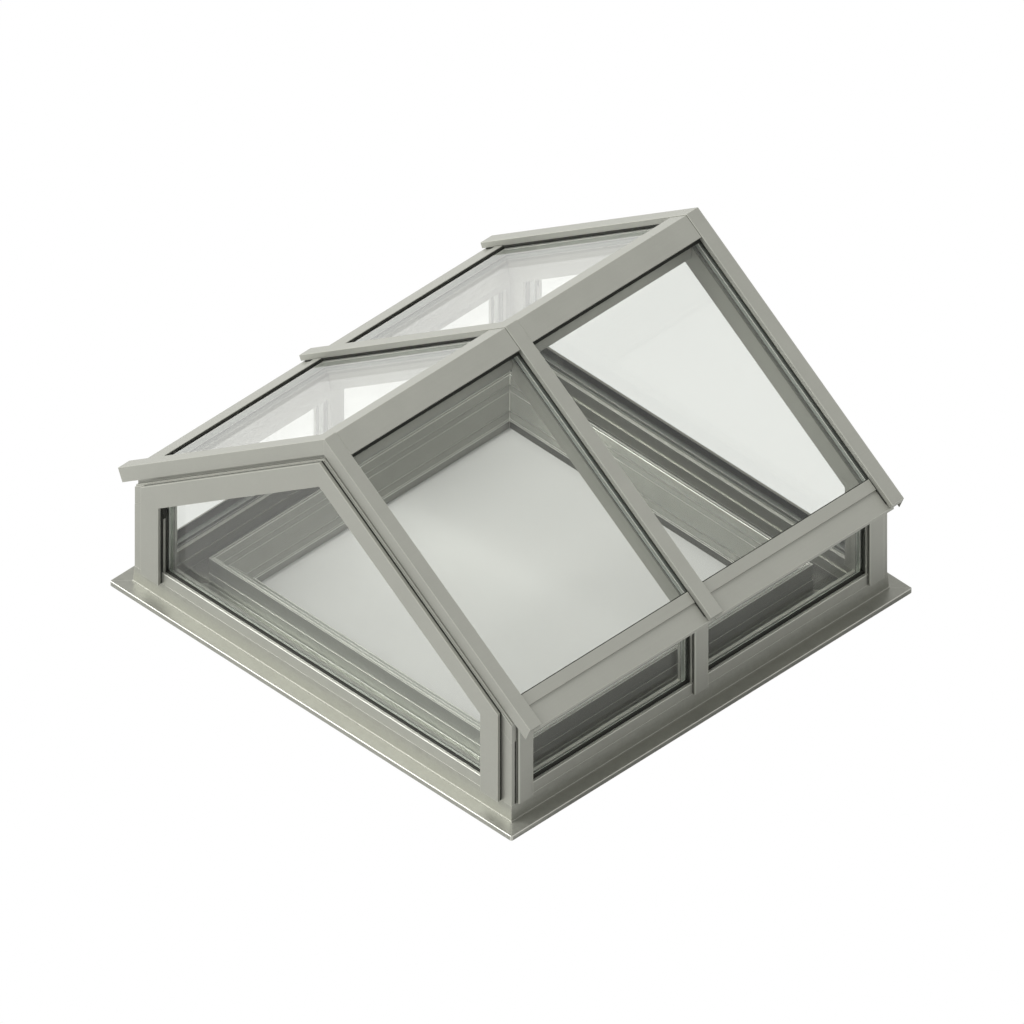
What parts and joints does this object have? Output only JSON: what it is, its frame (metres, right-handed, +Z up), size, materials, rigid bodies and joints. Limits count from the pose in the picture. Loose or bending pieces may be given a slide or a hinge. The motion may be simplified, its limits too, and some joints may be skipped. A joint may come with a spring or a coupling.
{
  "type": "roof skylight",
  "caption": "Fixed roof skylight with a mitred flanged curb, glazed walls, a gabled glass roof, cover caps and eave flashings.",
  "frame": {"origin": "centre of the outline at the underside of the curb flange", "axes": "+Z up, +Y along the ridge towards the rear gable, +X across the ridge to the right"},
  "size_m": [1.634, 1.569, 0.951],
  "materials": {
    "curb": "satin champagne grey coated aluminium",
    "frame": "satin champagne grey coated aluminium",
    "trim": "satin champagne grey coated aluminium",
    "glass": "clear glass with a faint grey green tint",
    "seal": "matte black rubber seal",
    "spacer": "matte grey metal spacer",
    "block": "black plastic"
  },
  "bodies": {
    "root": {"corner_post_front_left": "frame", "corner_post_front_right": "frame", "corner_post_rear_left": "frame", "corner_post_rear_right": "frame", "curb_rail_front": "curb", "curb_rail_left": "curb", "curb_rail_rear": "curb", "curb_rail_right": "curb", "eave_beam_left": "frame", "eave_beam_right": "frame", "eave_flashing_left": "trim", "eave_flashing_right": "trim", "eave_retainer_left": "trim", "eave_retainer_right": "trim", "gable_frame_front": "trim", "gable_frame_rear": "trim", "gable_glass_front": "glass", "gable_glass_rear": "glass", "gable_rafter_cap_front_left": "trim", "gable_rafter_cap_front_right": "trim", "gable_rafter_cap_rear_left": "trim", "gable_rafter_cap_rear_right": "trim", "gable_rafter_front_left": "frame", "gable_rafter_front_right": "frame", "gable_rafter_rear_left": "frame", "gable_rafter_rear_right": "frame", "inner_gaskets": "seal", "inner_upstand_front": "curb", "inner_upstand_left": "curb", "inner_upstand_rear": "curb", "inner_upstand_right": "curb", "mid_post_left": "frame", "mid_post_right": "frame", "mid_rafter_cap_left": "trim", "mid_rafter_cap_right": "trim", "mid_rafter_left": "frame", "mid_rafter_right": "frame", "outer_gaskets": "seal", "ridge_beam": "frame", "ridge_cap_front": "trim", "ridge_cap_rear": "trim", "roof_glass_front_left": "glass", "roof_glass_front_right": "glass", "roof_glass_rear_left": "glass", "roof_glass_rear_right": "glass", "setting_blocks": "block", "side_covers_left": "trim", "side_covers_right": "trim", "side_glass_front_left": "glass", "side_glass_front_right": "glass", "side_glass_rear_left": "glass", "side_glass_rear_right": "glass", "sill_bead_front": "trim", "sill_bead_left": "trim", "sill_bead_rear": "trim", "sill_bead_right": "trim", "spacer_frames": "spacer"}
  },
  "joints": []
}
